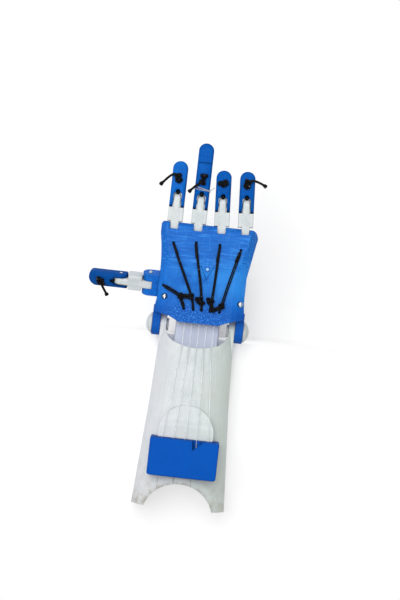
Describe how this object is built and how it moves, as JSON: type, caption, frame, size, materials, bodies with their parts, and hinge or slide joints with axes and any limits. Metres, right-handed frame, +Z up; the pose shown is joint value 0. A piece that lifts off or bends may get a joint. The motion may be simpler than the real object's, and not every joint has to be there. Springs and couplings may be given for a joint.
{
  "type": "wrist driven printed hand",
  "caption": "Printed hand prosthesis: arched palm with hinged fingers and thumb on a forearm gauntlet; bending the wrist pulls lines that curl the fingers, elastics open them.",
  "frame": {"origin": "middle of the wrist axis, dropped to the plane that the gauntlet's and the palm's rims stand on", "axes": "+X towards the little finger, +Y along the hand towards the fingertips, +Z up out of the back of the hand"},
  "size_m": [0.1467, 0.3225, 0.0594],
  "materials": {
    "white_print": "printed plastic with fine layer lines",
    "blue_print": "printed plastic, satin, with fine layer lines",
    "elastic": "braided black elastic cord",
    "nylon": "clear nylon line",
    "screw_steel": "bright zinc plate",
    "liner_fabric": "soft white foam-backed cloth"
  },
  "bodies": {
    "gauntlet": {"gauntlet_shell": "white_print", "wrist_liner": "liner_fabric", "tensioner_housing": "blue_print", "wrist_pin_left": "white_print", "wrist_pin_right": "white_print", "tension_lines_forearm": "nylon", "tension_lines_wrist": "nylon", "tension_screw_1": "screw_steel", "tension_screw_2": "screw_steel", "tension_screw_3": "screw_steel", "tension_screw_4": "screw_steel", "tension_screw_5": "screw_steel"},
    "palm": {"palm_shell": "blue_print", "palm_screw_left": "screw_steel", "palm_screw_right": "screw_steel", "palm_screw_centre": "screw_steel", "inner_knuckle_pin": "white_print", "outer_knuckle_pin": "white_print", "thumb_knuckle_pin": "white_print", "tension_lines_palm": "nylon", "elastic_index": "elastic", "elastic_middle": "elastic", "elastic_ring": "elastic", "elastic_little": "elastic", "elastic_thumb": "elastic"},
    "index_link": {"index_link": "white_print", "index_tip_pin": "white_print"},
    "index_tip": {"index_tip": "blue_print", "index_knot": "elastic"},
    "middle_link": {"middle_link": "white_print", "middle_tip_pin": "white_print"},
    "middle_tip": {"middle_tip": "blue_print", "middle_knot": "elastic"},
    "ring_link": {"ring_link": "white_print", "ring_tip_pin": "white_print"},
    "ring_tip": {"ring_tip": "blue_print", "ring_knot": "elastic"},
    "little_link": {"little_link": "white_print", "little_tip_pin": "white_print"},
    "little_tip": {"little_tip": "blue_print", "little_knot": "elastic"},
    "thumb_link": {"thumb_link": "white_print", "thumb_tip_pin": "white_print"},
    "thumb_tip": {"thumb_tip": "blue_print", "thumb_knot": "elastic"},
    "tension_slider_1": {"tension_slider_1": "blue_print"},
    "tension_slider_2": {"tension_slider_2": "blue_print"},
    "tension_slider_3": {"tension_slider_3": "blue_print"},
    "tension_slider_4": {"tension_slider_4": "blue_print"},
    "tension_slider_5": {"tension_slider_5": "blue_print"}
  },
  "joints": [
    {"name": "wrist_flex", "type": "hinge", "parent": "gauntlet", "child": "palm", "pos_m": [0, 0, 0.02], "axis": [-1, 0, 0], "range_deg": [0, 40], "stiffness_Nm_per_rad": 0.4, "springref_deg": -20.05, "deforming": ["tension_lines_wrist"]},
    {"name": "index_knuckle", "type": "hinge", "parent": "palm", "child": "index_link", "pos_m": [-0.0303, 0.084, 0.03], "axis": [-1, 0, 0], "range_deg": [0, 70]},
    {"name": "index_curl", "type": "hinge", "parent": "index_link", "child": "index_tip", "pos_m": [-0.0303, 0.11, 0.03], "axis": [-1, 0, 0], "range_deg": [0, 80]},
    {"name": "middle_knuckle", "type": "hinge", "parent": "palm", "child": "middle_link", "pos_m": [-0.0093, 0.084, 0.03], "axis": [-1, 0, 0], "range_deg": [0, 70]},
    {"name": "middle_curl", "type": "hinge", "parent": "middle_link", "child": "middle_tip", "pos_m": [-0.0093, 0.11, 0.03], "axis": [-1, 0, 0], "range_deg": [0, 80]},
    {"name": "ring_knuckle", "type": "hinge", "parent": "palm", "child": "ring_link", "pos_m": [0.0117, 0.084, 0.03], "axis": [-0.9981, -0.061, 0], "range_deg": [0, 70]},
    {"name": "ring_curl", "type": "hinge", "parent": "ring_link", "child": "ring_tip", "pos_m": [0.01011, 0.10995, 0.03], "axis": [-0.9981, -0.061, 0], "range_deg": [0, 80]},
    {"name": "little_knuckle", "type": "hinge", "parent": "palm", "child": "little_link", "pos_m": [0.03266, 0.08528, 0.03], "axis": [-0.9981, -0.061, 0], "range_deg": [0, 70]},
    {"name": "little_curl", "type": "hinge", "parent": "little_link", "child": "little_tip", "pos_m": [0.03107, 0.11123, 0.03], "axis": [-0.9981, -0.061, 0], "range_deg": [0, 80]},
    {"name": "thumb_knuckle", "type": "hinge", "parent": "palm", "child": "thumb_link", "pos_m": [-0.0465, 0.035, 0.022], "axis": [0, -0.9135, -0.4067], "range_deg": [0, 36]},
    {"name": "thumb_curl", "type": "hinge", "parent": "thumb_link", "child": "thumb_tip", "pos_m": [-0.0725, 0.035, 0.022], "axis": [0, -0.9135, -0.4067], "range_deg": [0, 40]},
    {"name": "tension_draw_1", "type": "slide", "parent": "gauntlet", "child": "tension_slider_1", "axis": [0, -1, 0], "range_m": [-0.003, 0.003]},
    {"name": "tension_draw_2", "type": "slide", "parent": "gauntlet", "child": "tension_slider_2", "axis": [0, -1, 0], "range_m": [-0.003, 0.003]},
    {"name": "tension_draw_3", "type": "slide", "parent": "gauntlet", "child": "tension_slider_3", "axis": [0, -1, 0], "range_m": [-0.003, 0.003]},
    {"name": "tension_draw_4", "type": "slide", "parent": "gauntlet", "child": "tension_slider_4", "axis": [0, -1, 0], "range_m": [-0.003, 0.003]},
    {"name": "tension_draw_5", "type": "slide", "parent": "gauntlet", "child": "tension_slider_5", "axis": [0, -1, 0], "range_m": [-0.003, 0.003]}
  ],
  "couplings": [
    {"joint": "index_knuckle", "follows": "wrist_flex", "ratio": 1.75},
    {"joint": "index_curl", "follows": "wrist_flex", "ratio": 2},
    {"joint": "middle_knuckle", "follows": "wrist_flex", "ratio": 1.75},
    {"joint": "middle_curl", "follows": "wrist_flex", "ratio": 2},
    {"joint": "ring_knuckle", "follows": "wrist_flex", "ratio": 1.75},
    {"joint": "ring_curl", "follows": "wrist_flex", "ratio": 2},
    {"joint": "little_knuckle", "follows": "wrist_flex", "ratio": 1.75},
    {"joint": "little_curl", "follows": "wrist_flex", "ratio": 2},
    {"joint": "thumb_knuckle", "follows": "wrist_flex", "ratio": 0.9},
    {"joint": "thumb_curl", "follows": "wrist_flex", "ratio": 1}
  ]
}
